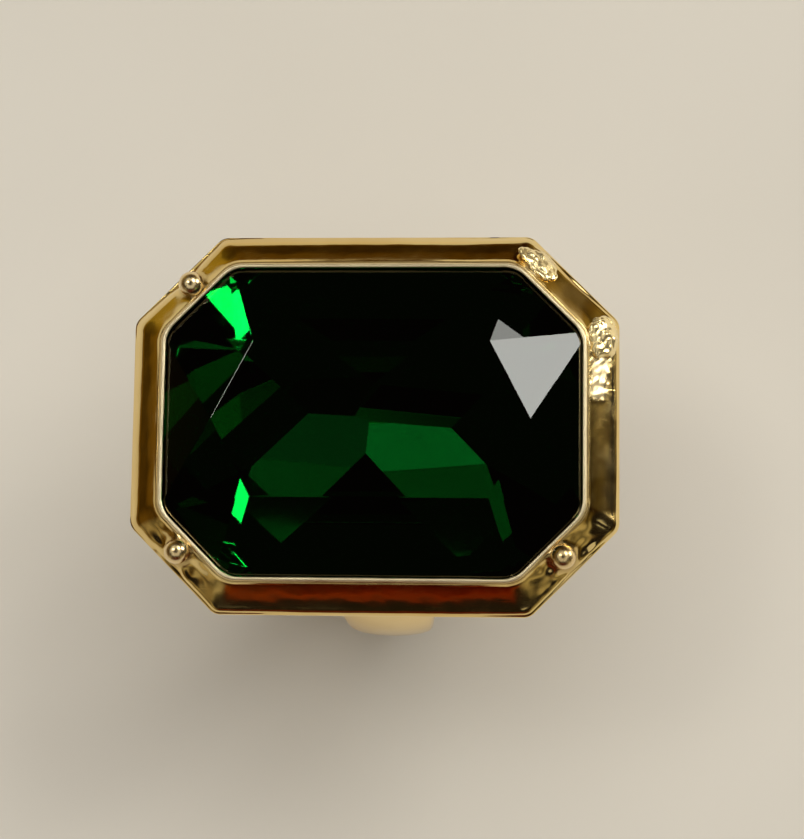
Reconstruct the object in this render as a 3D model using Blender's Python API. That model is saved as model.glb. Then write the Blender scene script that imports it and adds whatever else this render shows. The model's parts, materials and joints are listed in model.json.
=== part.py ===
"""Cocktail ring: an octagonal green glass stone in a sloped gold-tone collar, on a plain finger band.

Frame: the origin is the centre of the finger hole. +X runs along the stone's long side and is also the
finger's direction, +Y runs across the stone, and +Z points out of the stone's table. The design values
are in millimetres, and every mesh is scaled to metres as it is made.
"""

import math

import bmesh
import bpy
from mathutils import Matrix, Vector

MM = 0.001
OBJECT_NAME = "cocktail_ring"

# The opening of the collar, which every octagonal outline in the head is an offset of.
OPENING_HALF_X = 9.70
OPENING_HALF_Y = 7.20
OPENING_CUT = 3.08  # leg of the cut corner, along X and along Y
CUT_GROWTH = 2.0 - math.sqrt(2.0)  # how much a 45-degree corner's leg grows for each unit of offset

# Heights above the centre of the finger hole.
PLATE_BOTTOM_Z = 8.65
PLATE_THICKNESS = 0.40
CUP_FLOOR_THICKNESS = 0.30
GIRDLE_BOTTOM_Z = 13.85
GIRDLE_THICKNESS = 0.25
CROWN_HEIGHT = 1.35
LIP_TOP_Z = 14.50
RIM_BOTTOM_Z = 12.88
CONTACT_GAP = 0.05  # between two pieces that touch on the real ring

# The stone: 20 x 15 mm over the girdle.
GIRDLE_OFFSET = 0.30  # how far the girdle runs in under the lip
TABLE_HALF_X = 5.46
TABLE_HALF_Y = 3.60
TABLE_POINT_X = 7.35
# The pavilion's eight main facets, one under each girdle side from the right end round through the back:
# (how steeply it falls inward, how far it is shifted up). Cheap cast stones are uneven, and so is this one.
MAIN_FACETS = (
    (0.568, 0.132),
    (0.546, -0.006),
    (0.629, 0.118),
    (0.660, -0.012),
    (0.561, -0.058),
    (0.510, -0.095),
    (0.537, -0.001),
    (0.508, 0.008),
)
# Its corner facets, each through one girdle corner: (corner, fall toward X, fall toward Y, shift up).
CORNER_FACETS = (
    (2, 0.171, 0.395, 0.012),
    (3, -0.065, 0.538, 0.055),
    (6, -0.111, -0.433, 0.052),
    (7, 0.095, -0.448, 0.126),
)
BLANK_BOTTOM_Z = 9.00  # the pavilion is carved from a prism that starts here
FOIL_THICKNESS = 0.12
FOIL_GAP = 0.06

# The collar's outline as (offset from the opening, height) points, from the inside out.
LIP_SHAPE = ((0.0, -0.19), (0.02, -0.06), (0.10, 0.0), (0.19, -0.02), (0.27, -0.10), (0.34, -0.08))
RIM_SHAPE = ((1.62, 0.56), (1.72, 0.44), (1.75, 0.28), (1.71, 0.11), (1.59, 0.0))
BORE_OFFSET = 0.38
BORE_TOP_DROP = 0.34  # from the lip's top to the roof over the girdle

# The cup and the plate under it, as offsets from the opening.
CUP_OUTER_OFFSET = 0.72
CUP_LEDGE_OFFSET = -0.15
CUP_LEDGE_Z = 13.28
CUP_FOOT_OFFSET = 0.10
CUP_SHOULDER_Z = 12.60
CUP_CAVITY_FOOT_OFFSET = -0.75
CEMENT_TOP_Z = 13.03
PLATE_OFFSET = 0.0
PLATE_CHAMFER = 0.12

# The beads that are soldered on three of the cut corners.
BEAD_RADIUS = 0.55
BEAD_LIFT = 0.30  # centre above the collar's slope
BEAD_FOOT_DEPTH = 0.08  # the bead's flat foot below that slope
BEAD_OFFSET = 0.67
BEAD_SLIDES = {
    "bead_top_left": (-1, 1, 0.26),
    "bead_bottom_left": (-1, -1, -0.26),
    "bead_bottom_right": (1, -1, -0.12),
}
SEAT_GAP = 0.06

# The two patches of old solder beside the place of the fourth bead.
PATCH_OFFSET = 0.96
TOP_PATCH_SLIDE = 1.62
TOP_PATCH_SIZE = (0.50, 0.95, 0.15)  # across the slope, along it, and its height
RIGHT_PATCH_Y = 4.05
RIGHT_PATCH_SIZE = (0.60, 0.78, 0.20)

# The finger band, in the plane X = 0.
FINGER_RADIUS = 8.25  # a 16.5 mm hole, ring size 6
BAND_SEAM_ANGLE = math.radians(-15.0)
ARC_END_ANGLE = math.radians(24.0)
SHOULDER_TOP_Y = 6.20
BAND_BOTTOM_WIDTH = 3.00
BAND_SEAM_WIDTH = 4.00
SHOULDER_TOP_WIDTH = 5.80
BAND_BOTTOM_THICKNESS = 1.15
BAND_SEAM_THICKNESS = 1.25
SHOULDER_TOP_THICKNESS = 1.35
SHOULDER_STEPS = 18
BAND_STEPS = 48
DOME_STEPS = 8  # points over the domed outside of the band
DOME_START = 0.12  # share of the thickness where the dome springs from the straight side
EDGE_ROUND_X = 0.12  # the small chamfer along the band's inner edges
EDGE_ROUND_OUT = 0.15


def mix(a, b, share):
    return a + (b - a) * share


def ease(share):
    return share * share * (3.0 - 2.0 * share)


def clear_scene():
    for obj in list(bpy.data.objects):
        bpy.data.objects.remove(obj, do_unlink=True)


def make_collection(name):
    collection = bpy.data.collections.new(name)
    bpy.context.scene.collection.children.link(collection)
    return collection


def make_material(name, colour, roughness, metallic, transmission=0.0, ior=1.5):
    material = bpy.data.materials.new(name)
    material.use_nodes = True
    shader = material.node_tree.nodes["Principled BSDF"]
    shader.inputs["Base Color"].default_value = (*colour, 1.0)
    shader.inputs["Roughness"].default_value = roughness
    shader.inputs["Metallic"].default_value = metallic
    shader.inputs["Transmission Weight"].default_value = transmission
    shader.inputs["IOR"].default_value = ior
    material.diffuse_color = (*colour, 1.0)
    return material


def make_object(name, mesh_builder, collection, material=None, smooth_angle=None):
    """Turns a bmesh in millimetres into an object in metres."""
    bmesh.ops.scale(mesh_builder, vec=Vector((MM, MM, MM)), verts=mesh_builder.verts)
    bmesh.ops.recalc_face_normals(mesh_builder, faces=mesh_builder.faces)
    mesh = bpy.data.meshes.new(name)
    mesh_builder.to_mesh(mesh)
    mesh_builder.free()
    if smooth_angle is not None:
        mesh.shade_smooth()
        mesh.set_sharp_from_angle(angle=smooth_angle)
    if material:
        mesh.materials.append(material)
    obj = bpy.data.objects.new(name, mesh)
    collection.objects.link(obj)
    return obj


def cut_with(target, cutter):
    """Removes the cutter's volume from the target with an exact Boolean."""
    cutter.hide_render = True
    cutter.display_type = "WIRE"
    modifier = target.modifiers.new("cut_" + cutter.name, "BOOLEAN")
    modifier.operation = "DIFFERENCE"
    modifier.solver = "EXACT"
    modifier.object = cutter


def octagon(offset):
    """The head's cut-corner outline grown by an offset, counterclockwise from the right side's low end."""
    x = OPENING_HALF_X + offset
    y = OPENING_HALF_Y + offset
    cut = OPENING_CUT + CUT_GROWTH * offset
    return [
        (x, cut - y),
        (x, y - cut),
        (x - cut, y),
        (cut - x, y),
        (-x, y - cut),
        (-x, cut - y),
        (cut - x, -y),
        (x - cut, -y),
    ]


def add_octagon(builder, offset, z):
    return [builder.verts.new((x, y, z)) for x, y in octagon(offset)]


def bridge(builder, lower, upper):
    for i in range(len(lower)):
        j = (i + 1) % len(lower)
        builder.faces.new((lower[i], lower[j], upper[j], upper[i]))


def octagonal_loft(profile, closed):
    """Carries a profile of (offset, height) points around the head.

    A closed profile makes a frame. An open one makes a solid whose first and last outlines are filled.
    """
    builder = bmesh.new()
    rings = [add_octagon(builder, offset, z) for offset, z in profile]
    for lower, upper in zip(rings, rings[1:]):
        bridge(builder, lower, upper)
    if closed:
        bridge(builder, rings[-1], rings[0])
    else:
        builder.faces.new(rings[0])
        builder.faces.new(rings[-1])
    return builder


def pavilion_planes(drop):
    """A point and an outward normal for each facet of the stone's underside, all lowered by drop."""
    girdle = octagon(GIRDLE_OFFSET)
    planes = []
    for i, (fall, shift) in enumerate(MAIN_FACETS):
        x, y = girdle[i]
        next_x, next_y = girdle[(i + 1) % len(girdle)]
        length = math.hypot(next_x - x, next_y - y)
        point = Vector((x, y, GIRDLE_BOTTOM_Z + shift - drop))
        normal = Vector((fall * (next_y - y) / length, -fall * (next_x - x) / length, -1.0))
        planes.append((point, normal))
    for corner, fall_x, fall_y, shift in CORNER_FACETS:
        point = Vector((*girdle[corner], GIRDLE_BOTTOM_Z + shift - drop))
        planes.append((point, Vector((fall_x, fall_y, -1.0))))
    return planes


def carve_pavilion(builder, drop=0.0):
    """Cuts a convex blank from below with every facet of the pavilion."""
    for point, normal in pavilion_planes(drop):
        geometry = builder.verts[:] + builder.edges[:] + builder.faces[:]
        cut = bmesh.ops.bisect_plane(
            builder, geom=geometry, dist=1e-6, plane_co=point, plane_no=normal, clear_outer=True
        )
        rim = [item for item in cut["geom_cut"] if isinstance(item, bmesh.types.BMEdge)]
        if rim:
            bmesh.ops.edgeloop_fill(builder, edges=rim)
    bmesh.ops.remove_doubles(builder, verts=builder.verts, dist=1e-4)
    bmesh.ops.recalc_face_normals(builder, faces=builder.faces)


def add_crown(builder, girdle):
    """The stone's top: a table with pointed ends, two long faces, and triangles around the corners."""
    table_z = GIRDLE_BOTTOM_Z + GIRDLE_THICKNESS + CROWN_HEIGHT
    outline = [
        (TABLE_POINT_X, 0.0),
        (TABLE_HALF_X, TABLE_HALF_Y),
        (-TABLE_HALF_X, TABLE_HALF_Y),
        (-TABLE_POINT_X, 0.0),
        (-TABLE_HALF_X, -TABLE_HALF_Y),
        (TABLE_HALF_X, -TABLE_HALF_Y),
    ]
    right, back_right, back_left, left, front_left, front_right = [
        builder.verts.new((x, y, table_z)) for x, y in outline
    ]
    faces = [
        (right, back_right, back_left, left, front_left, front_right),
        (girdle[0], girdle[1], right),
        (girdle[1], back_right, right),
        (girdle[1], girdle[2], back_right),
        (girdle[2], girdle[3], back_left, back_right),
        (girdle[3], girdle[4], back_left),
        (girdle[4], left, back_left),
        (girdle[4], girdle[5], left),
        (girdle[5], front_left, left),
        (girdle[5], girdle[6], front_left),
        (girdle[6], girdle[7], front_right, front_left),
        (girdle[7], girdle[0], front_right),
        (girdle[0], right, front_right),
    ]
    for face in faces:
        builder.faces.new(face)


def make_stone(parts, material):
    builder = bmesh.new()
    lower = add_octagon(builder, GIRDLE_OFFSET, BLANK_BOTTOM_Z)
    upper = add_octagon(builder, GIRDLE_OFFSET, GIRDLE_BOTTOM_Z + GIRDLE_THICKNESS)
    builder.faces.new(lower)
    bridge(builder, lower, upper)
    add_crown(builder, upper)
    bmesh.ops.recalc_face_normals(builder, faces=builder.faces)
    carve_pavilion(builder)
    make_object("faceted_stone", builder, parts, material)


def carved_blank(drop):
    """A plain prism over the girdle's outline with the pavilion carved into its underside."""
    blank = [(GIRDLE_OFFSET, BLANK_BOTTOM_Z), (GIRDLE_OFFSET, GIRDLE_BOTTOM_Z + 1.0)]
    builder = octagonal_loft(blank, closed=False)
    carve_pavilion(builder, drop)
    return builder


def make_foil(parts, material):
    """A thin mirror skin that follows the pavilion from below."""
    builder = carved_blank(FOIL_GAP)
    others = [face for face in builder.faces if face.normal.z > -0.3]
    bmesh.ops.delete(builder, geom=others, context="FACES")
    under = bmesh.ops.extrude_face_region(builder, geom=builder.faces[:], use_keep_orig=True)
    moved = [item for item in under["geom"] if isinstance(item, bmesh.types.BMVert)]
    bmesh.ops.translate(builder, vec=Vector((0.0, 0.0, -FOIL_THICKNESS)), verts=moved)
    make_object("foil_backing", builder, parts, material)


def make_cement(parts, cutters, material):
    """Cement fills the cup's lower cavity up to the foil."""
    floor_z = PLATE_BOTTOM_Z + PLATE_THICKNESS + 2 * CONTACT_GAP + CUP_FLOOR_THICKNESS
    share = (CEMENT_TOP_Z - floor_z) / (CUP_LEDGE_Z - floor_z)
    wall_run = CUP_LEDGE_OFFSET - CUP_CAVITY_FOOT_OFFSET
    top_offset = CUP_CAVITY_FOOT_OFFSET + share * wall_run - CONTACT_GAP
    foot_offset = CUP_CAVITY_FOOT_OFFSET - CONTACT_GAP
    bed = octagonal_loft([(foot_offset, floor_z), (top_offset, CEMENT_TOP_Z)], closed=False)
    bed = make_object("cement_bed", bed, parts, material)
    hollow = carved_blank(2 * FOIL_GAP + FOIL_THICKNESS)
    cut_with(bed, make_object("cement_hollow", hollow, cutters))


def make_cup(parts, material):
    """A closed cup whose top edge carries the girdle and whose sides taper in to the base plate."""
    bottom_z = PLATE_BOTTOM_Z + PLATE_THICKNESS + CONTACT_GAP
    profile = [
        (CUP_FOOT_OFFSET, bottom_z),
        (CUP_OUTER_OFFSET, CUP_SHOULDER_Z),
        (CUP_OUTER_OFFSET, CUP_LEDGE_Z),
        (CUP_LEDGE_OFFSET, CUP_LEDGE_Z),
        (CUP_CAVITY_FOOT_OFFSET, bottom_z + CUP_FLOOR_THICKNESS),
    ]
    make_object("stone_cup", octagonal_loft(profile, closed=False), parts, material)


def make_base_plate(parts, material):
    profile = [
        (PLATE_OFFSET - PLATE_CHAMFER, PLATE_BOTTOM_Z),
        (PLATE_OFFSET, PLATE_BOTTOM_Z + PLATE_CHAMFER),
        (PLATE_OFFSET, PLATE_BOTTOM_Z + PLATE_THICKNESS),
    ]
    make_object("base_plate", octagonal_loft(profile, closed=False), parts, material)


def slope_height(offset):
    """Height of the collar's sloped face at an offset from the opening."""
    start, below_lip = LIP_SHAPE[-1]
    end, above_rim = RIM_SHAPE[0]
    start_z = LIP_TOP_Z + below_lip
    end_z = RIM_BOTTOM_Z + above_rim
    return mix(start_z, end_z, (offset - start) / (end - start))


def slope_normal():
    """The slope's normal as (outward, up) parts."""
    fall = slope_height(0.0) - slope_height(1.0)
    return Vector((fall, 1.0)).normalized()


def collar_profile():
    """Lip, groove, slope and rounded rim, then the underside with its step over the cup's edge."""
    lip = [(offset, LIP_TOP_Z + height) for offset, height in LIP_SHAPE]
    rim = [(offset, RIM_BOTTOM_Z + height) for offset, height in RIM_SHAPE]
    hood = CUP_OUTER_OFFSET + CONTACT_GAP
    underside = [
        (hood, RIM_BOTTOM_Z),
        (hood, CUP_LEDGE_Z + CONTACT_GAP),
        (BORE_OFFSET, CUP_LEDGE_Z + CONTACT_GAP),
        (BORE_OFFSET, LIP_TOP_Z - BORE_TOP_DROP),
    ]
    return lip + rim + underside


def corner_point(x_side, y_side, offset, slide):
    """A point on the slope of one cut corner, and the slope's normal there.

    Slide moves it along the corner, towards the collar's long side.
    """
    x = OPENING_HALF_X + offset
    y = OPENING_HALF_Y + offset
    cut = OPENING_CUT + CUT_GROWTH * offset
    step = slide / math.sqrt(2.0)
    point = Vector(
        (x_side * (x - cut / 2 - step), y_side * (y - cut / 2 + step), slope_height(offset))
    )
    outward, up = slope_normal()
    side = outward / math.sqrt(2.0)
    return point, Vector((x_side * side, y_side * side, up))


def make_bead(name, parts, cutters, collar, material):
    """A round bead with a flat foot, in a shallow seat of the collar."""
    x_side, y_side, slide = BEAD_SLIDES[name]
    point, normal = corner_point(x_side, y_side, BEAD_OFFSET, slide)
    for label, grow in ((name, 0.0), (name + "_seat", SEAT_GAP)):
        builder = bmesh.new()
        radius = BEAD_RADIUS + grow
        bmesh.ops.create_uvsphere(builder, u_segments=28, v_segments=14, radius=radius)
        bmesh.ops.translate(builder, vec=point + normal * BEAD_LIFT, verts=builder.verts)
        foot = point - normal * (BEAD_FOOT_DEPTH + grow)
        geometry = builder.verts[:] + builder.edges[:] + builder.faces[:]
        cut = bmesh.ops.bisect_plane(
            builder, geom=geometry, plane_co=foot, plane_no=normal, clear_inner=True
        )
        rim = [item for item in cut["geom_cut"] if isinstance(item, bmesh.types.BMEdge)]
        bmesh.ops.contextual_create(builder, geom=rim)
        if grow:
            cut_with(collar, make_object(label, builder, cutters))
        else:
            make_object(label, builder, parts, material, smooth_angle=math.radians(35))


def make_patch(name, point, normal, along, size, parts, cutters, collar, material):
    """A low patch of solder in a shallow seat of the collar's slope."""
    across = along.cross(normal)
    turn = Matrix((across, along, normal)).transposed()
    for label, grow in ((name, 0.0), (name + "_seat", SEAT_GAP)):
        builder = bmesh.new()
        bmesh.ops.create_uvsphere(builder, u_segments=24, v_segments=12, radius=1.0)
        grown = Vector([length + grow for length in size])
        bmesh.ops.scale(builder, vec=grown, verts=builder.verts)
        bmesh.ops.rotate(builder, cent=Vector(), matrix=turn, verts=builder.verts)
        bmesh.ops.translate(builder, vec=point, verts=builder.verts)
        if grow:
            cut_with(collar, make_object(label, builder, cutters))
        else:
            make_object(label, builder, parts, material, smooth_angle=math.pi)


def make_patches(parts, cutters, collar, material):
    """The solder that is left on both sides of the place where the fourth bead was."""
    outward, up = slope_normal()
    point, normal = corner_point(1, 1, PATCH_OFFSET, TOP_PATCH_SLIDE)
    along = Vector((-1.0, 1.0, 0.0)).normalized()
    rest = (parts, cutters, collar, material)
    make_patch("solder_patch_top", point, normal, along, TOP_PATCH_SIZE, *rest)
    point = Vector((OPENING_HALF_X + PATCH_OFFSET, RIGHT_PATCH_Y, slope_height(PATCH_OFFSET)))
    normal = Vector((outward, 0.0, up))
    make_patch("solder_patch_right", point, normal, Vector((0.0, 1.0, 0.0)), RIGHT_PATCH_SIZE, *rest)


def band_section(centre, tangent, width, thickness):
    """A D-shaped section across the band: flat towards the finger and domed outside."""
    outward = Vector((0.0, tangent.z, -tangent.y))
    half = width / 2
    inner = -thickness / 2
    spring = thickness * DOME_START
    flat = half - EDGE_ROUND_X
    points = [(-flat, inner), (flat, inner), (half, inner + EDGE_ROUND_OUT)]
    for i in range(DOME_STEPS + 1):
        angle = math.pi * i / DOME_STEPS
        points.append((half * math.cos(angle), mix(spring, -inner, math.sin(angle))))
    points.append((-half, inner + EDGE_ROUND_OUT))
    return [centre + Vector((across, 0.0, 0.0)) + outward * out for across, out in points]


def sweep(stations):
    """Joins band sections into one closed solid."""
    builder = bmesh.new()
    rings = [[builder.verts.new(point) for point in band_section(*station)] for station in stations]
    for lower, upper in zip(rings, rings[1:]):
        bridge(builder, lower, upper)
    builder.faces.new(rings[0])
    builder.faces.new(rings[-1])
    return builder


def arc_station(angle, width, thickness):
    """A station on the round part of the band, at an angle from +Y towards +Z."""
    radius = FINGER_RADIUS + thickness / 2
    centre = Vector((0.0, radius * math.cos(angle), radius * math.sin(angle)))
    tangent = Vector((0.0, -math.sin(angle), math.cos(angle)))
    return centre, tangent, width, thickness


def rise_station(t, width, thickness):
    """A station on the smooth curve from the end of the round part, at t 0, to the base plate, at t 1."""
    start, heading = arc_station(ARC_END_ANGLE, width, thickness)[:2]
    end = Vector((0.0, SHOULDER_TOP_Y, PLATE_BOTTOM_Z - CONTACT_GAP))
    reach = (end - start).length
    leave = heading * reach
    arrive = Vector((0.0, 0.0, reach))
    centre = start + leave * t
    centre += (3 * (end - start) - 2 * leave - arrive) * t**2
    centre += (2 * (start - end) + leave + arrive) * t**3
    tangent = leave + (3 * (end - start) - 2 * leave - arrive) * 2 * t
    tangent += (2 * (start - end) + leave + arrive) * 3 * t**2
    return centre, tangent.normalized(), width, thickness


def shoulder_stations(seam_angle):
    """From the seam up the round part, then in to stand upright under the base plate."""
    stations = []
    for i in range(SHOULDER_STEPS + 1):
        share = i / SHOULDER_STEPS
        width = mix(BAND_SEAM_WIDTH, SHOULDER_TOP_WIDTH, ease(share))
        thickness = mix(BAND_SEAM_THICKNESS, SHOULDER_TOP_THICKNESS, share)
        if share <= 0.5:
            angle = mix(seam_angle, ARC_END_ANGLE, 2.0 * share)
            stations.append(arc_station(angle, width, thickness))
        else:
            stations.append(rise_station(2.0 * share - 1.0, width, thickness))
    return stations


def make_band(parts, material):
    """Two shoulders and the round band between them, with a butt seam at each side."""
    seam_gap = CONTACT_GAP / FINGER_RADIUS
    stations = shoulder_stations(BAND_SEAM_ANGLE + seam_gap)
    for name, side in (("shoulder_back", 1), ("shoulder_front", -1)):
        builder = sweep(stations)
        bmesh.ops.scale(builder, vec=Vector((1.0, side, 1.0)), verts=builder.verts)
        make_object(name, builder, parts, material, smooth_angle=math.radians(35))
    start = -math.pi - BAND_SEAM_ANGLE
    around = []
    for i in range(BAND_STEPS + 1):
        share = i / BAND_STEPS
        from_seam = ease(min(share, 1.0 - share) * 2.0)
        width = mix(BAND_SEAM_WIDTH, BAND_BOTTOM_WIDTH, from_seam)
        thickness = mix(BAND_SEAM_THICKNESS, BAND_BOTTOM_THICKNESS, from_seam)
        around.append(arc_station(mix(start, BAND_SEAM_ANGLE, share), width, thickness))
    make_object("shank_band", sweep(around), parts, material, smooth_angle=math.radians(35))


def main():
    clear_scene()
    parts = make_collection(OBJECT_NAME)
    cutters = make_collection("cutters")
    gold = make_material("polished_gold_tone", (0.83, 0.64, 0.30), 0.14, 1.0)
    inner_gold = make_material("plain_gold_tone", (0.72, 0.54, 0.25), 0.3, 1.0)
    solder = make_material("worn_solder", (0.72, 0.58, 0.36), 0.35, 1.0)
    glass = make_material("emerald_glass", (0.01, 0.30, 0.10), 0.02, 0.0, transmission=1.0, ior=1.6)
    foil = make_material("mirror_foil", (0.80, 0.82, 0.80), 0.08, 1.0)
    cement = make_material("clear_cement", (0.70, 0.66, 0.52), 0.5, 0.0)

    make_stone(parts, glass)
    make_foil(parts, foil)
    make_cement(parts, cutters, cement)
    make_cup(parts, inner_gold)
    make_base_plate(parts, inner_gold)
    collar = make_object("collar_frame", octagonal_loft(collar_profile(), closed=True), parts, gold)
    for name in BEAD_SLIDES:
        make_bead(name, parts, cutters, collar, gold)
    make_patches(parts, cutters, collar, solder)
    make_band(parts, gold)


main()
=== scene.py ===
import json
import math

import bmesh
import bpy
import numpy as np
from mathutils import Matrix, Vector, noise

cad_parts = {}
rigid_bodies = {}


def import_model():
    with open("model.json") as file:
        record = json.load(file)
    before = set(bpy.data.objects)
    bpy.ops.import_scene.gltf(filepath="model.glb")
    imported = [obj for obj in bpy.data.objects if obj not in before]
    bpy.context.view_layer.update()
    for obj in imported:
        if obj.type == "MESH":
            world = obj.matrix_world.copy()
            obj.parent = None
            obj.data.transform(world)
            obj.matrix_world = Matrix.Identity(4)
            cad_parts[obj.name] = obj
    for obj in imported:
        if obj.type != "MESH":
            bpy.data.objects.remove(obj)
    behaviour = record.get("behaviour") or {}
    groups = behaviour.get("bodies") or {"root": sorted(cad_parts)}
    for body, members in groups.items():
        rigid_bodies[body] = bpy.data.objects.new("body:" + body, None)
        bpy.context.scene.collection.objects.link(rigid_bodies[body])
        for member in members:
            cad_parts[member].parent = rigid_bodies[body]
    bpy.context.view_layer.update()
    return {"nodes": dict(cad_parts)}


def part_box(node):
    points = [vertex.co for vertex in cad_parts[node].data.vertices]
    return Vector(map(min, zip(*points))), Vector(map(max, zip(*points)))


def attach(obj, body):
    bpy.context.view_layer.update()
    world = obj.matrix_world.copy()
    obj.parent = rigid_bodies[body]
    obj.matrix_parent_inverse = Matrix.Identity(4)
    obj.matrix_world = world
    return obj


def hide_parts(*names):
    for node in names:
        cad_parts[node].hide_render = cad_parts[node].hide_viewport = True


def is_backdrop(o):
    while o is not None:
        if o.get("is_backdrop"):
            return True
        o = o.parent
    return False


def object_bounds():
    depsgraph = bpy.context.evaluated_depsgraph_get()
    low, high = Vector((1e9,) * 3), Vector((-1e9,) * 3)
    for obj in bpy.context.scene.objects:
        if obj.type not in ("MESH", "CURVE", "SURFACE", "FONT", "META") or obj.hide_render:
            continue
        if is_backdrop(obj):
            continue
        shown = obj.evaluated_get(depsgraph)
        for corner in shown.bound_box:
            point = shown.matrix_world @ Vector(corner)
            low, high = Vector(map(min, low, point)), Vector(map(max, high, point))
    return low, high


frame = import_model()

MM = 0.001


# ---------------------------------------------------------------- driving sizes, read from the frame

STONE_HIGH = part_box("faceted_stone")[1]
COLLAR_LOW, COLLAR_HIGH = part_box("collar_frame")
CUP_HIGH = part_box("stone_cup")[1]

LIP_OVERLAP = 0.30 * MM  # how far the girdle runs in under the lip
OPENING_X = STONE_HIGH.x - LIP_OVERLAP
OPENING_Y = STONE_HIGH.y - LIP_OVERLAP
OPENING_CUT = 3.08 * MM  # how much of each corner of the opening is cut away, along either side
CUT_GROWTH = 2.0 - math.sqrt(2.0)  # how the cut grows as the outline is offset outward
LIP_TOP = COLLAR_HIGH.z
RIM_BOTTOM = COLLAR_LOW.z
RIM_OFFSET = COLLAR_HIGH.x - OPENING_X
WELD = 0.001 * MM  # points closer than this are the same point


# ---------------------------------------------------------------- small helpers

def mix(a, b, share):
    return a + (b - a) * share


def smooth(low, high, value):
    """0 below low, 1 above high, and smooth in between. It takes a number or an array."""
    t = np.clip((value - low) / (high - low), 0.0, 1.0)
    return t * t * (3.0 - 2.0 * t)


def object_from(name, verts, faces, smooth_angle):
    mesh = bpy.data.meshes.new(name)
    mesh.from_pydata([tuple(v) for v in verts], [], [tuple(f) for f in faces])
    mesh.validate()
    builder = bmesh.new()
    builder.from_mesh(mesh)
    bmesh.ops.recalc_face_normals(builder, faces=builder.faces)
    builder.to_mesh(mesh)
    builder.free()
    mesh.shade_smooth()
    mesh.set_sharp_from_angle(angle=smooth_angle)
    return object_of(name, mesh)


def object_of(name, mesh):
    """Puts a mesh in the scene as an object."""
    obj = bpy.data.objects.new(name, mesh)
    bpy.context.scene.collection.objects.link(obj)
    return obj


def mesh_of(name, builder):
    """Writes a bmesh to a new mesh and frees it."""
    mesh = bpy.data.meshes.new(name)
    builder.to_mesh(mesh)
    builder.free()
    return mesh


def fill_ramp(ramp_node, stops):
    """Sets a colour ramp from (position, colour) stops; a colour may be one number."""
    elements = ramp_node.color_ramp.elements
    while len(elements) < len(stops):
        elements.new(0.5)
    for element, (position, colour) in zip(elements, stops):
        element.position = position
        grey = (colour,) * 3 if isinstance(colour, float) else colour
        element.color = (*grey, 1.0)


def add_attribute(obj, name, values):
    layer = obj.data.attributes.new(name, "FLOAT", "POINT")
    layer.data.foreach_set("value", np.asarray(values, np.float32).ravel())


def spline(points, steps):
    """Catmull-Rom points through a list of (offset, height) points."""
    pts = [np.array(p, float) for p in points]
    pts = [2 * pts[0] - pts[1]] + pts + [2 * pts[-1] - pts[-2]]
    out = []
    for i in range(1, len(pts) - 2):
        p0, p1, p2, p3 = pts[i - 1 : i + 3]
        for k in range(steps):
            t = k / steps
            out.append(
                0.5
                * (
                    2 * p1
                    + (p2 - p0) * t
                    + (2 * p0 - 5 * p1 + 4 * p2 - p3) * t**2
                    + (3 * p1 - p0 - 3 * p2 + p3) * t**3
                )
            )
    out.append(pts[-2])
    return out


# ---------------------------------------------------------------- the head's rounded octagon

SIDE_STEPS = (80, 48, 130, 48, 80, 48, 130, 48)  # points along each side, from the right end round
CORNER_STEPS = 12
POINTS_ROUND = sum(SIDE_STEPS) + 8 * CORNER_STEPS
INNER_ROUND = 1.45 * MM
OUTER_ROUND = 0.75 * MM


def octagon(offset):
    """The opening's eight corners, moved outward by an offset."""
    x = OPENING_X + offset
    y = OPENING_Y + offset
    cut = OPENING_CUT + CUT_GROWTH * offset
    corners = [
        (x, cut - y),
        (x, y - cut),
        (x - cut, y),
        (cut - x, y),
        (-x, y - cut),
        (-x, cut - y),
        (cut - x, -y),
        (x - cut, -y),
    ]
    return np.array(corners)


def rounded_octagon(offset):
    """Points round the head at one offset, each corner an arc."""
    corners = octagon(offset)
    radius = mix(INNER_ROUND, OUTER_ROUND, min(max(offset / RIM_OFFSET, 0.0), 1.0))
    reach = radius * math.tan(math.pi / 8)
    points = []
    for i in range(8):
        start, end = corners[i], corners[(i + 1) % 8]
        along = (end - start) / np.linalg.norm(end - start)
        first, last = start + along * reach, end - along * reach
        for k in range(SIDE_STEPS[i]):
            points.append(mix(first, last, k / SIDE_STEPS[i]))
        outward = np.array([along[1], -along[0]])
        hub = last - outward * radius
        heading = math.atan2(outward[1], outward[0])
        for k in range(CORNER_STEPS):
            angle = heading + math.pi / 4 * k / CORNER_STEPS
            points.append(hub + radius * np.array([math.cos(angle), math.sin(angle)]))
    return np.array(points)


def head_rings(profile):
    """Carries (offset, height) points around the head: one ring of points for each."""
    return np.array([
        np.column_stack([rounded_octagon(offset), np.full(POINTS_ROUND, height)])
        for offset, height in profile
    ])


def ring_normals(rings):
    """The direction that the surface faces at every point of the rings."""
    down = np.roll(rings, -1, axis=0) - np.roll(rings, 1, axis=0)
    around = np.roll(rings, -1, axis=1) - np.roll(rings, 1, axis=1)
    normals = np.cross(around, down)
    return normals / (np.linalg.norm(normals, axis=2, keepdims=True) + 1e-20)


def closed_rings(name, rings, smooth_angle):
    """Joins rings of points into a solid that closes on itself, like a tyre."""
    n_rings, n_round = rings.shape[:2]
    faces = []
    for i in range(n_rings):
        a, b = i * n_round, ((i + 1) % n_rings) * n_round
        for j in range(n_round):
            k = (j + 1) % n_round
            faces.append((a + j, a + k, b + k, b + j))
    return object_from(name, rings.reshape(-1, 3), faces, smooth_angle)


# ---------------------------------------------------------------- materials

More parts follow.
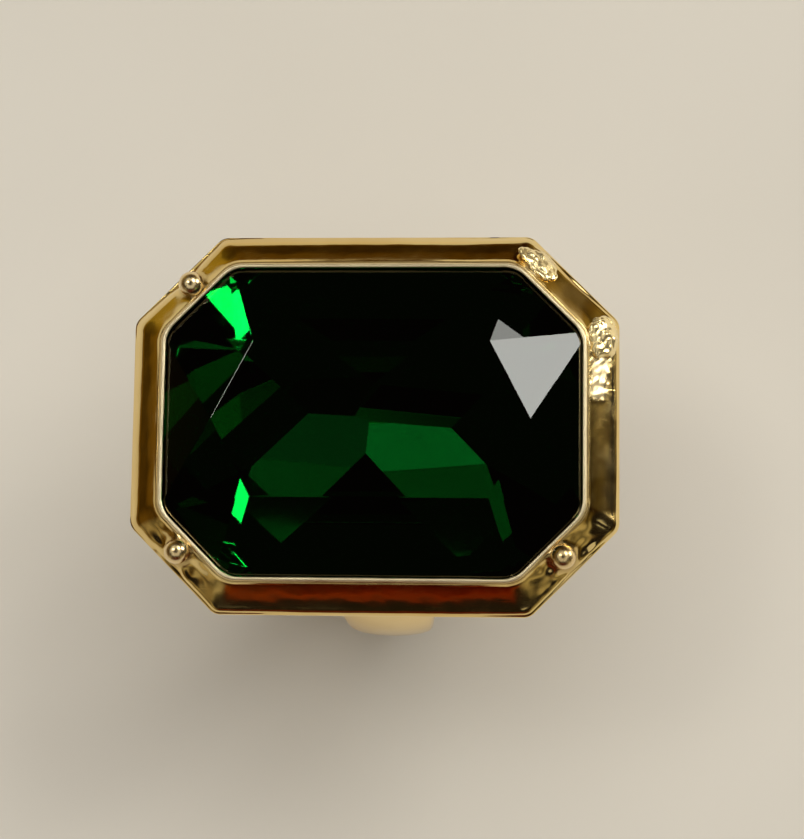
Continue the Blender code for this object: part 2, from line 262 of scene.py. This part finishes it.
class Shade:
    """A material being built: its node tree, its shader, and short ways to add nodes."""

    def __init__(self, name):
        self.material = bpy.data.materials.new(name)
        self.material.use_nodes = True
        self.tree = self.material.node_tree
        self.shader = self.tree.nodes["Principled BSDF"]
        self.place = self.node("ShaderNodeTexCoord").outputs["Object"]

    def node(self, kind, **settings):
        made = self.tree.nodes.new(kind)
        for key, value in settings.items():
            setattr(made, key, value)
        return made

    def link(self, source, target):
        self.tree.links.new(source, target)

    def noise(self, scale, detail, rough=0.5, stretch=None):
        """Noise over the piece. A stretch is a scale and a rotation for the place it is read at."""
        made = self.node("ShaderNodeTexNoise")
        made.inputs["Scale"].default_value = scale
        made.inputs["Detail"].default_value = detail
        made.inputs["Roughness"].default_value = rough
        place = self.place
        if stretch:
            mapping = self.node("ShaderNodeMapping")
            mapping.inputs["Scale"].default_value = stretch[0]
            mapping.inputs["Rotation"].default_value = stretch[1]
            self.link(place, mapping.inputs["Vector"])
            place = mapping.outputs["Vector"]
        self.link(place, made.inputs["Vector"])
        return made.outputs["Fac"]

    def ramp(self, source, stops):
        made = self.node("ShaderNodeValToRGB")
        fill_ramp(made, stops)
        self.link(source, made.inputs["Fac"])
        return made.outputs["Color"]

    def span(self, source, low, high, to_low, to_high):
        made = self.node("ShaderNodeMapRange")
        for key, value in zip(("From Min", "From Max", "To Min", "To Max"), (low, high, to_low, to_high)):
            made.inputs[key].default_value = value
        self.link(source, made.inputs["Value"])
        return made.outputs["Result"]

    def math(self, operation, a, b):
        made = self.node("ShaderNodeMath", operation=operation)
        for socket, value in zip(made.inputs, (a, b)):
            if isinstance(value, float):
                socket.default_value = value
            else:
                self.link(value, socket)
        return made.outputs["Value"]

    def blend(self, share, a, b):
        made = self.node("ShaderNodeMix", data_type="RGBA")
        sockets = [s for s in made.inputs if s.type == "RGBA"]
        factor = [s for s in made.inputs if s.name == "Factor" and s.type == "VALUE"][0]
        self.link(share, factor)
        for socket, value in zip(sockets, (a, b)):
            if isinstance(value, tuple):
                socket.default_value = (*value, 1.0)
            else:
                self.link(value, socket)
        return [s for s in made.outputs if s.type == "RGBA"][0]

    def attribute(self, name):
        return self.node("ShaderNodeAttribute", attribute_name=name).outputs["Fac"]

    def bump(self, height, distance, before=None):
        made = self.node("ShaderNodeBump")
        made.inputs["Distance"].default_value = distance
        made.inputs["Strength"].default_value = 1.0
        self.link(height, made.inputs["Height"])
        if before:
            self.link(before, made.inputs["Normal"])
        return made.outputs["Normal"]

    def set(self, **values):
        for key, value in values.items():
            socket = self.shader.inputs[key.replace("_", " ")]
            if isinstance(value, (float, tuple)):
                socket.default_value = value
            else:
                self.link(value, socket)


SCRATCH_DEPTH = 0.0000012
DENT_DEPTH = 0.000002
# dark brown for tarnish, also used as painted shade in the groove and round the beads
TARNISH_AND_SHADE = (0.16, 0.085, 0.03)
RUBBED = (0.98, 0.84, 0.56)


def gold_material(name, pale, deep, rough_low, rough_high, has_wear=False, metallic=1.0):
    """Gold-tone plate: slow colour drift, hand-polish haze and hairline scratches.

    With has_wear, two of the mesh's attributes bring tarnish, with painted shade in the crevices, and
    rubbed metal.
    """
    shade = Shade(name)
    drift = shade.noise(260.0, 2.0)
    colour = shade.ramp(drift, [(0.3, deep), (0.7, pale)])
    haze = shade.noise(900.0, 4.0, 0.6)
    rough = shade.span(haze, 0.35, 0.75, rough_low, rough_high)
    hair = shade.noise(500.0, 2.0, 0.6, stretch=((1.0, 14.0, 6.0), (0.2, 0.1, 0.7)))
    cross = shade.noise(420.0, 2.0, 0.6, stretch=((12.0, 1.0, 5.0), (0.1, 0.3, -0.4)))
    hair_lines = shade.span(hair, 0.62, 0.8, 0.0, 1.0)
    cross_lines = shade.span(cross, 0.64, 0.8, 0.0, 1.0)
    scratches = shade.math("ADD", hair_lines, cross_lines)
    normal = shade.bump(scratches, SCRATCH_DEPTH)
    normal = shade.bump(shade.noise(1500.0, 3.0, 0.55), DENT_DEPTH, normal)
    if has_wear:
        # tarnish, with painted shade in the groove under the lip and round the beads' feet
        tarnish_and_shade = shade.attribute("tarnish_and_shade")
        colour = shade.blend(tarnish_and_shade, colour, TARNISH_AND_SHADE)
        rough = shade.math("ADD", rough, shade.math("MULTIPLY", tarnish_and_shade, 0.25))
        worn = shade.attribute("worn")
        colour = shade.blend(worn, colour, RUBBED)
        rough = shade.math("ADD", rough, shade.math("MULTIPLY", worn, 0.30))
    shade.set(Base_Color=colour, Roughness=rough, Metallic=metallic, Normal=normal)
    return shade.material


GLASS_INDEX = 1.634  # from the same fit as the pavilion's facets
GLASS_DEEP = (0.0005, 0.150, 0.021)
GLASS_PALE = (0.0006, 0.172, 0.025)


def glass_material():
    """Polished green glass with the faintest polish haze."""
    shade = Shade("emerald_glass")
    haze = shade.noise(700.0, 3.0, 0.6)
    colour = shade.ramp(shade.noise(120.0, 1.0), [(0.3, GLASS_DEEP), (0.7, GLASS_PALE)])
    shade.set(
        Base_Color=colour,
        Roughness=shade.span(haze, 0.4, 0.8, 0.0, 0.012),
        Transmission_Weight=1.0,
        IOR=GLASS_INDEX,
    )
    return shade.material


def mirror_material(name, pale, deep):
    """The mirror coat behind the stone, a little uneven like any lacquered foil."""
    shade = Shade(name)
    colour = shade.ramp(shade.noise(350.0, 3.0), [(0.3, deep), (0.7, pale)])
    rough = shade.span(shade.noise(600.0, 3.0), 0.3, 0.7, 0.01, 0.035)
    shade.set(Base_Color=colour, Roughness=rough, Metallic=1.0)
    return shade.material


def cement_material():
    """Set clear cement, cloudy and slightly yellow."""
    shade = Shade("set_cement")
    cloud = shade.noise(800.0, 3.0)
    colour = shade.ramp(cloud, [(0.3, (0.62, 0.58, 0.46)), (0.7, (0.72, 0.68, 0.56))])
    rough = shade.span(shade.noise(1500.0, 3.0), 0.3, 0.7, 0.30, 0.50)
    shade.set(Base_Color=colour, Roughness=rough)
    return shade.material


# ---------------------------------------------------------------- the stone

FACET_EDGE = 0.018 * MM
FLAT_WITHIN = math.radians(0.6)  # triangles this nearly level with each other belong to one facet
CROWN = 1.35 * MM
COATED_BELOW = 0.1  # faces whose normal's Z is under this carry the mirror coat


def cad_faces(node):
    """A CAD node's mesh with its triangles joined into flat faces."""
    builder = bmesh.new()
    builder.from_mesh(frame["nodes"][node].data)
    bmesh.ops.remove_doubles(builder, verts=builder.verts, dist=WELD)
    bmesh.ops.dissolve_limit(
        builder, angle_limit=FLAT_WITHIN, verts=builder.verts[:], edges=builder.edges[:]
    )
    bmesh.ops.recalc_face_normals(builder, faces=builder.faces)
    return builder


def break_edges(builder, edges, width):
    bmesh.ops.bevel(
        builder, geom=edges, offset=width, segments=2, profile=0.5, affect="EDGES", clamp_overlap=True
    )


def make_stone(glass, mirror):
    """The CAD stone's facets with worn edges on top, and the mirror coat on its sides and underside."""
    builder = cad_faces("faceted_stone")
    for face in builder.faces:
        face.smooth = False
        face.material_index = 1 if face.normal.z < COATED_BELOW else 0
    girdle_z = STONE_HIGH.z - CROWN
    edges = [e for e in builder.edges if all(v.co.z > girdle_z - WELD for v in e.verts)]
    break_edges(builder, edges, FACET_EDGE)
    mesh = mesh_of("emerald_stone", builder)
    mesh.materials.append(glass)
    mesh.materials.append(mirror)
    stone = object_of("emerald_stone", mesh)
    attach(stone, "root")
    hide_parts("faceted_stone")


# ---------------------------------------------------------------- the collar

BEAD_RADIUS = (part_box("bead_top_left")[1].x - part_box("bead_top_left")[0].x) / 2
BEAD_GROWTH = 1.07  # the solder's roll round each bead


def bead_centre(name):
    """The middle of a bead, whose foot is cut flat where it sits on the slope."""
    low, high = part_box(name)
    centre = (low + high) / 2
    centre.z = high.z - BEAD_RADIUS
    return centre


# Each bead's centre, and how hammered the metal is round it.
BEADS = {name: bead_centre(name) for name in ("bead_top_left", "bead_bottom_left", "bead_bottom_right")}
BEAD_CRUMPLE = {"bead_top_left": 0.12, "bead_bottom_left": 1.0, "bead_bottom_right": 1.0}
PATCHES = {
    name: (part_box(name)[0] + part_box(name)[1]) / 2
    for name in ("solder_patch_top", "solder_patch_right")
}
# The collar's face as (offset, height) in millimetres from the opening's edge and the lip's top.
LIP_FACE = (
    (0.000, -0.19), (0.006, -0.10), (0.04, -0.025), (0.10, 0.0), (0.16, -0.012), (0.215, -0.065),
    (0.255, -0.10), (0.30, -0.11), (0.35, -0.135), (0.55, -0.295), (0.82, -0.495),
)
CRISP_RIM = (
    (1.10, -0.685), (1.34, -0.835), (1.48, -0.915), (1.60, -1.00), (1.69, -1.13),
    (1.735, -1.27), (1.74, -1.40), (1.71, -1.52), (1.62, -1.61),
)
SOFT_RIM = (
    (1.06, -0.66), (1.22, -0.77), (1.34, -0.875), (1.45, -1.0), (1.55, -1.15),
    (1.65, -1.30), (1.725, -1.43), (1.72, -1.53), (1.62, -1.61),
)
SOFT_RIM_AZIMUTH = math.radians(128)  # the upper left, where the rim is polished rounder
HOOD_GAP = 0.05 * MM  # room left round the cup
BORE_GAP = 0.08 * MM  # room left round the girdle
BORE_TOP_DROP = 0.34 * MM
GROOVE_DROP = 0.115 * MM
GROOVE_HALF_WIDTH = 0.035 * MM
SMOOTH_UNDER = math.radians(40)  # edges flatter than this are shaded smooth
# How far each kind of unevenness moves the collar's face, in millimetres.
SLOW_WAVES = 0.016
FINE_DENTS = 0.006
HAMMERED_DENTS = 0.075
CRUMPLED_METAL = 0.09
BEAD_FILLET = 0.14
STUB_HOLLOW = 0.05
CORNER_KNOCK = 0.08
ENDS_BOW = 0.12
LONG_SIDES_BOW = 0.13


def collar_profile(rim):
    """Lip, groove, slope and rim as a smooth run, then the plain underside. All from inside out."""
    face = spline(LIP_FACE + rim, 4)
    run = [(offset * MM, LIP_TOP + height * MM) for offset, height in face]
    hood = CUP_HIGH.x - OPENING_X + HOOD_GAP
    step = CUP_HIGH.z + HOOD_GAP
    bore = LIP_OVERLAP + BORE_GAP
    under = [(hood, RIM_BOTTOM), (hood, step), (bore, step), (bore, LIP_TOP - BORE_TOP_DROP)]
    return run + under


def fractal(point, size, octaves):
    return noise.fractal(Vector(point) / size, 0.9, 2.0, octaves, noise_basis="PERLIN_ORIGINAL")


def near(points, centre, inner, outer):
    """1 within the inner distance of a centre, seen from above, and 0 past the outer."""
    reach = np.hypot(points[:, 0] - centre[0], points[:, 1] - centre[1])
    return 1 - smooth(inner, outer, reach)


def segment_near(points, start, end, inner, outer):
    """1 within the inner distance of a line, seen from above, and 0 past the outer."""
    start, end = np.array(start[:2]), np.array(end[:2])
    along = end - start
    share = np.clip((points[:, :2] - start) @ along / (along @ along), 0, 1)
    foot = start + share[:, None] * along
    return 1 - smooth(inner, outer, np.linalg.norm(points[:, :2] - foot, axis=1))


def make_collar(gold):
    """The lip, slope and rim, with dents and bows, where they are tarnished and painted with shade, and
    where they are rubbed.
    """
    crisp = head_rings(collar_profile(CRISP_RIM))
    soft = head_rings(collar_profile(SOFT_RIM))
    azimuth = np.arctan2(crisp[0, :, 1], crisp[0, :, 0])
    share = smooth(-0.25, 0.5, np.cos(azimuth - SOFT_RIM_AZIMUTH))
    rings = mix(crisp, soft, share[None, :, None])
    out = ring_normals(rings).reshape(-1, 3)
    flat = rings.reshape(-1, 3)
    if out[np.argmax(flat[:, 2])][2] < 0:
        out = -out
    facing_up = smooth(0.15, 0.5, out[:, 2])
    slope = facing_up * smooth(LIP_TOP - 0.05 * MM, LIP_TOP - 0.2 * MM, flat[:, 2])
    by_bead = np.zeros(len(flat))
    fillet = np.zeros(len(flat))
    for name, centre in BEADS.items():
        by_bead = np.maximum(by_bead, BEAD_CRUMPLE[name] * near(flat, centre, 0.9 * MM, 2.4 * MM))
        fillet += near(flat, centre, 0.40 * MM, 0.82 * MM)
    top, right = PATCHES["solder_patch_top"], PATCHES["solder_patch_right"]
    rough = near(flat, top, 0.4 * MM, 1.1 * MM) + near(flat, right, 0.5 * MM, 1.0 * MM)
    rough += segment_near(flat, right, right - Vector((0.25, 2.6, 0)) * MM, 0.2 * MM, 0.7 * MM) * 0.6
    # The place between the two lumps where the fourth bead has come off.
    stub = near(flat, (top + right) / 2 + Vector((0.1, 0.1, 0)) * MM, 0.4 * MM, 1.3 * MM)
    lift = np.zeros(len(flat))
    for i in np.flatnonzero(facing_up > 0):
        point = flat[i]
        slow = fractal(point, 2.4 * MM, 2) * SLOW_WAVES
        fine = fractal(point + 7.0, 0.85 * MM, 2) * (FINE_DENTS + HAMMERED_DENTS * by_bead[i])
        crumple = abs(fractal(point + 3.0, 0.34 * MM, 3)) * CRUMPLED_METAL * min(rough[i], 1.0)
        lift[i] = slow + (fine + crumple) * slope[i]
    # A knock on the right end, above the lower right bead.
    knock = near(flat, (OPENING_X + 1.25 * MM, -OPENING_Y + 2.35 * MM), 0.0, 0.95 * MM)
    lift += (BEAD_FILLET * fillet - STUB_HOLLOW * stub + CORNER_KNOCK * knock) * slope
    beyond_x = smooth(OPENING_X - 1.2 * MM, OPENING_X + 0.4 * MM, np.abs(flat[:, 0]))
    beyond_y = smooth(OPENING_Y - 1.2 * MM, OPENING_Y + 0.4 * MM, np.abs(flat[:, 1]))
    lift -= ENDS_BOW * slope * (flat[:, 1] / OPENING_Y) ** 2 * beyond_x
    lift -= LONG_SIDES_BOW * slope * (flat[:, 0] / OPENING_X) ** 2 * beyond_y
    flat = flat + out * (lift * facing_up * MM)[:, None]
    collar = closed_rings("gold_collar", flat.reshape(rings.shape), SMOOTH_UNDER)
    # Tarnish with painted shade: in the groove under the lip and round the beads' feet, and plain tarnish
    # where the fourth bead has come off.
    from_groove = np.abs(flat[:, 2] - (LIP_TOP - GROOVE_DROP)) / GROOVE_HALF_WIDTH
    groove = smooth(0.0, 1.0, 1 - from_groove) * facing_up
    ring = np.zeros(len(flat))
    for centre in BEADS.values():
        ring += near(flat, centre, 0.55 * MM, 0.85 * MM)
    add_attribute(collar, "tarnish_and_shade", np.clip(0.55 * groove + 0.45 * ring + 0.35 * stub * slope, 0, 1))
    lip = smooth(LIP_TOP - 0.10 * MM, LIP_TOP - 0.03 * MM, flat[:, 2])
    add_attribute(collar, "worn", np.clip(lip + smooth(0.0, 1.0, rough) * slope, 0, 1))
    collar.data.materials.append(gold)
    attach(collar, "root")
    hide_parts("collar_frame")


PATCH_GROWTH = {"solder_patch_top": 1.22, "solder_patch_right": 1.30}


def make_patches(solder):
    """The lumps of old solder by the lost bead: wrinkled like foil, and nearly flat on the slope."""
    for node in PATCHES:
        source = frame["nodes"][node].data
        points = np.array([tuple(v.co) for v in source.vertices])
        middle = points.mean(axis=0)
        axes = np.linalg.svd(points - middle, full_matrices=False)[2]
        spread = (points - middle) @ axes.T
        size = np.abs(spread).max(axis=0) * PATCH_GROWTH[node]
        builder = bmesh.new()
        bmesh.ops.create_icosphere(builder, subdivisions=6, radius=1.0)
        for vert in builder.verts:
            away = np.array(vert.co)
            swell = 1 + 0.25 * fractal(away * MM + middle, 0.9 * MM, 2)
            place = middle + (away * size * swell) @ axes
            crease = abs(fractal(place, 0.55 * MM, 2))
            vert.co = place + (away @ axes) * (crease - 0.2) * 0.10 * MM
        mesh = mesh_of(node + "_wrinkled", builder)
        mesh.shade_smooth()
        mesh.materials.append(solder)
        lump = object_of(node + "_wrinkled", mesh)
        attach(lump, "root")
        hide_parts(node)


def make_beads(gold):
    for node, centre in BEADS.items():
        builder = bmesh.new()
        bmesh.ops.create_icosphere(builder, subdivisions=5, radius=BEAD_RADIUS * BEAD_GROWTH)
        bmesh.ops.translate(builder, vec=centre, verts=builder.verts)
        mesh = mesh_of(node + "_fine", builder)
        mesh.shade_smooth()
        mesh.materials.append(gold)
        bead = object_of(node + "_fine", mesh)
        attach(bead, "root")
        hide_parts(node)


CURVED_WITHIN = math.radians(28)  # faces that meet more sharply than this have an edge between them
BROKEN_EDGE = 0.05 * MM


def refine(node, material):
    """A CAD node's shape with its sharp edges broken and its curves smooth."""
    builder = cad_faces(node)
    sharp = [e for e in builder.edges if e.is_manifold and e.calc_face_angle() > CURVED_WITHIN]
    break_edges(builder, sharp, BROKEN_EDGE)
    mesh = mesh_of(node + "_refined", builder)
    mesh.shade_smooth()
    mesh.set_sharp_from_angle(angle=CURVED_WITHIN)
    mesh.materials.append(material)
    piece = object_of(node + "_refined", mesh)
    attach(piece, "root")
    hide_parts(node)


def dress(node, material):
    """Gives a CAD node that stays its finish."""
    obj = frame["nodes"][node]
    obj.data.materials.clear()
    obj.data.materials.append(material)


# ---------------------------------------------------------------- floor, light and camera

CAMERA_DISTANCE = 100.0 * MM
CAMERA_RIGHT = math.radians(5.0)
CAMERA_FRONT = math.radians(7.0)
CAMERA_ROLL = math.radians(0.85)
VIEW_HEIGHT = 39.2056 * MM  # what the picture's height covers at the rim
RIM_MIDDLE = 0.42 * MM  # how far above the rim's foot the camera's distance is measured from
AIM_RIGHT = 1.3271 * MM  # how far the picture's middle is from the ring's
AIM_UP = 0.2196 * MM
SENSOR = 36.0


def make_camera():
    """Almost overhead, leaning a little to the right and the front as the photograph does."""
    back = Vector((math.sin(CAMERA_RIGHT), -math.sin(CAMERA_FRONT), 0.0))
    back.z = math.sqrt(1 - back.length_squared)
    target = Vector((0.0, 0.0, RIM_BOTTOM + RIM_MIDDLE))
    up = Vector((-math.sin(CAMERA_ROLL), math.cos(CAMERA_ROLL), 0.0))
    right = up.cross(back).normalized()
    up = back.cross(right)
    aim = target + right * AIM_RIGHT + up * AIM_UP
    place = target + back * CAMERA_DISTANCE
    back = (place - aim).normalized()
    right = up.cross(back).normalized()
    up = back.cross(right)
    data = bpy.data.cameras.new("camera")
    data.sensor_width = SENSOR
    data.lens = SENSOR * CAMERA_DISTANCE / VIEW_HEIGHT
    data.clip_start = 0.005
    data.clip_end = 10.0
    camera = bpy.data.objects.new("camera", data)
    camera.matrix_world = Matrix((
        (right.x, up.x, back.x, place.x),
        (right.y, up.y, back.y, place.y),
        (right.z, up.z, back.z, place.z),
        (0, 0, 0, 1),
    ))
    bpy.context.scene.collection.objects.link(camera)
    bpy.context.scene.camera = camera


FLOOR_REACH = 0.6
WALL_RADIUS = 0.59
WALL_HEIGHT = 0.8
WALL_SIDES = 64


def make_floor():
    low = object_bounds()[0].z
    corners = [(-1, -1), (1, -1), (1, 1), (-1, 1)]
    mesh = bpy.data.meshes.new("floor")
    mesh.from_pydata([(x * FLOOR_REACH, y * FLOOR_REACH, low) for x, y in corners], [], [(0, 1, 2, 3)])
    floor = object_of("floor", mesh)
    shade = Shade("pale_floor")
    colour = shade.ramp(shade.noise(25.0, 2.0), [(0.3, (0.64, 0.60, 0.53)), (0.7, (0.68, 0.64, 0.57))])
    shade.set(Base_Color=colour, Roughness=0.75)
    mesh.materials.append(shade.material)
    floor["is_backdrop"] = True


def make_backdrop():
    """A pale wall round the floor that only the camera sees, for views from low down."""
    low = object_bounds()[0].z
    verts = []
    faces = []
    for i in range(WALL_SIDES):
        angle = 2 * math.pi * i / WALL_SIDES
        x, y = WALL_RADIUS * math.cos(angle), WALL_RADIUS * math.sin(angle)
        verts += [(x, y, low), (x, y, low + WALL_HEIGHT)]
        here, after = 2 * i, 2 * ((i + 1) % WALL_SIDES)
        faces.append((here, here + 1, after + 1, after))
    wall = object_from("backdrop", verts, faces, math.radians(30))
    for way in ("glossy", "diffuse", "transmission", "shadow"):
        setattr(wall, "visible_" + way, False)
    shade = Shade("pale_wall")
    colour = shade.ramp(shade.noise(6.0, 2.0), [(0.3, (0.64, 0.61, 0.55)), (0.7, (0.68, 0.65, 0.59))])
    shade.set(Base_Color=colour, Roughness=0.8)
    wall.data.materials.append(shade.material)
    wall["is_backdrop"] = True


CARD_DISTANCE = 0.5


def card(name, azimuth, elevation, width, height, power, colour, distance=CARD_DISTANCE):
    """A soft light card that faces the ring. Azimuth and elevation are in degrees."""
    a, e = math.radians(azimuth), math.radians(elevation)
    away = Vector((math.cos(a) * math.cos(e), math.sin(a) * math.cos(e), math.sin(e)))
    data = bpy.data.lights.new(name, "AREA")
    data.shape = "RECTANGLE"
    data.size = width
    data.size_y = height
    data.energy = power
    data.color = colour
    light = bpy.data.objects.new(name, data)
    light.location = Vector((0, 0, LIP_TOP)) + away * distance
    light.rotation_mode = "QUATERNION"
    light.rotation_quaternion = away.to_track_quat("Z", "Y")
    bpy.context.scene.collection.objects.link(light)
    return light


# The room's colour at each azimuth, set against the gold slopes.
HORIZON = (
    (-180, (0.095, 0.050, 0.005)), (-158, (0.10, 0.055, 0.008)), (-135, (0.31, 0.26, 0.15)),
    (-112, (0.06, 0.018, 0.003)), (-90, (0.075, 0.006, 0.0005)), (-68, (0.055, 0.013, 0.002)),
    (-45, (0.34, 0.29, 0.16)), (-26, (0.10, 0.07, 0.02)), (-6, (0.02, 0.009, 0.001)),
    (5, (0.055, 0.038, 0.010)), (10, (0.20, 0.165, 0.09)), (18, (0.42, 0.37, 0.23)),
    (45, (0.22, 0.16, 0.05)), (62, (0.12, 0.07, 0.01)), (79, (0.03, 0.008, 0.001)),
    (90, (0.052, 0.024, 0.001)),
    (112, (0.12, 0.07, 0.008)), (135, (0.24, 0.165, 0.02)), (158, (0.12, 0.07, 0.006)),
    (180, (0.095, 0.050, 0.005)),
)

# How bright the room is at each height above the horizon, as (sine of the elevation, brightness).
SHELVES = ((0.0, 1.3), (0.09, 1.25), (0.17, 0.38), (0.25, 0.75), (0.34, 1.15), (0.48, 1.0))

OVERHEAD_STARTS = 0.33  # the sine of the elevation where the room begins to darken
OVERHEAD_DARK = 0.47
OVERHEAD = (0.012, 0.009, 0.006)
METAL_CARDS = 6  # soft cards in a ring overhead, for the gold and the other opaque parts

# The lamps: name, azimuth, elevation, width, height, power and colour.
# Only the window is seen through the glass.
WINDOW = ("window", 41, 51, 0.15, 0.13, 0.44, (1.0, 1.0, 0.93))
METAL_LAMPS = (
    ("window_edge", 58.5, 47.3, 0.06, 0.08, 0.06, (1.0, 1.0, 0.93)),
    ("bead_lamp", 150, 65, 0.10, 0.10, 0.25, (1.0, 0.98, 0.90)),
    ("side_window", 23, 18.5, 0.15, 0.12, 0.60, (1.0, 0.97, 0.90)),
    ("warm_band", -90, 22, 0.50, 0.04, 0.0045, (1.0, 0.14, 0.004)),
)

# Small cards seen only through the glass: name, azimuth, elevation, width, height and power.
# They stand near where traced rays leave the stone's bright facets, adjusted by hand.
STONE_CARDS = (
    ("low_back_card", 108, 1.5, 0.21, 0.06, 0.024),
    ("back_card", 78, 10, 0.14, 0.07, 0.0045),
    ("front_card", -95, 52, 0.45, 0.20, 0.08),
    ("right_lamp", 12, 26.5, 0.10, 0.10, 0.60),
    ("roof_lamp", -12, 64, 0.06, 0.06, 0.23),
    ("front_lamp", -57, 52, 0.06, 0.07, 0.20),
)


def make_world():
    """A warm room whose colour changes round the horizon, and which is dark overhead."""
    world = bpy.data.worlds.new("studio")
    bpy.context.scene.world = world
    world.use_nodes = True
    tree = world.node_tree
    link = tree.links.new
    place = tree.nodes.new("ShaderNodeTexCoord").outputs["Generated"]
    parts = tree.nodes.new("ShaderNodeSeparateXYZ")
    link(place, parts.inputs[0])
    turn = tree.nodes.new("ShaderNodeMath")
    turn.operation = "ARCTAN2"
    link(parts.outputs["Y"], turn.inputs[0])
    link(parts.outputs["X"], turn.inputs[1])
    share = tree.nodes.new("ShaderNodeMapRange")
    share.inputs["From Min"].default_value = -math.pi
    share.inputs["From Max"].default_value = math.pi
    link(turn.outputs[0], share.inputs["Value"])

    def eased_ramp(source, stops):
        made = tree.nodes.new("ShaderNodeValToRGB")
        made.color_ramp.interpolation = "EASE"
        fill_ramp(made, stops)
        link(source, made.inputs["Fac"])
        return made.outputs["Color"]

    around = eased_ramp(share.outputs["Result"], [((a + 180) / 360, colour) for a, colour in HORIZON])
    height = eased_ramp(parts.outputs["Z"], [(OVERHEAD_STARTS, 0.0), (OVERHEAD_DARK, 1.0)])
    bands = eased_ramp(parts.outputs["Z"], SHELVES)
    room = tree.nodes.new("ShaderNodeVectorMath")
    room.operation = "MULTIPLY"
    link(around, room.inputs[0])
    link(bands, room.inputs[1])
    blend = tree.nodes.new("ShaderNodeMix")
    blend.data_type = "RGBA"
    link(height, blend.inputs["Factor"])
    link(room.outputs["Vector"], blend.inputs["A"])
    blend.inputs["B"].default_value = (*OVERHEAD, 1.0)
    link(blend.outputs["Result"], tree.nodes["Background"].inputs["Color"])


def make_lights():
    """The lamps, then the cards for the metal alone, the fill, and the cards for the glass alone."""
    card(*WINDOW)
    for lamp in METAL_LAMPS:
        card(*lamp).visible_transmission = False
    metal = bpy.data.collections.new("metal")
    for obj in bpy.context.scene.objects:
        if obj.type == "MESH" and obj.name not in ("floor", "backdrop", "emerald_stone"):
            metal.objects.link(obj)
    for i in range(METAL_CARDS):
        soft = card("metal_card_%d" % i, 360 * i / METAL_CARDS, 53, 0.31, 0.26, 0.14, (1.0, 0.95, 0.84))
        soft.light_linking.receiver_collection = metal
    sky = card("sky_fill", 60, 75, 0.9, 0.9, 7.3, (1.0, 0.98, 0.94), distance=0.9)
    sky.visible_glossy = False
    sky.visible_transmission = False
    for stone_card in STONE_CARDS:
        glow = card(*stone_card, (1.0, 1.0, 1.0))
        glow.visible_glossy = False
        glow.visible_diffuse = False


def main():
    gold = gold_material(
        "hand_polished_gold", (0.93, 0.72, 0.32), (0.84, 0.60, 0.22), 0.07, 0.17, has_wear=True
    )
    plain_gold = gold_material("plain_gold", (0.90, 0.70, 0.36), (0.80, 0.58, 0.27), 0.12, 0.26)
    bead_gold = gold_material("bead_gold", (0.94, 0.76, 0.44), (0.86, 0.64, 0.32), 0.20, 0.34)
    solder = gold_material(
        "worn_solder", (1.0, 0.84, 0.48), (0.95, 0.76, 0.38), 0.16, 0.32, metallic=0.88
    )
    glass = glass_material()
    mirror = mirror_material("green_mirror_coat", (0.45, 0.80, 0.60), (0.38, 0.72, 0.52))
    foil = mirror_material("foil_back", (0.80, 0.80, 0.78), (0.70, 0.70, 0.68))
    make_camera()
    make_collar(gold)
    make_stone(glass, mirror)
    make_beads(bead_gold)
    for node in ("shank_band", "shoulder_back", "shoulder_front"):
        refine(node, plain_gold)
    for node in ("stone_cup", "base_plate"):
        refine(node, plain_gold)
    dress("foil_backing", foil)
    dress("cement_bed", cement_material())
    make_patches(solder)
    make_floor()
    make_backdrop()
    make_world()
    make_lights()
    bpy.context.scene.view_settings.view_transform = "Standard"


main()
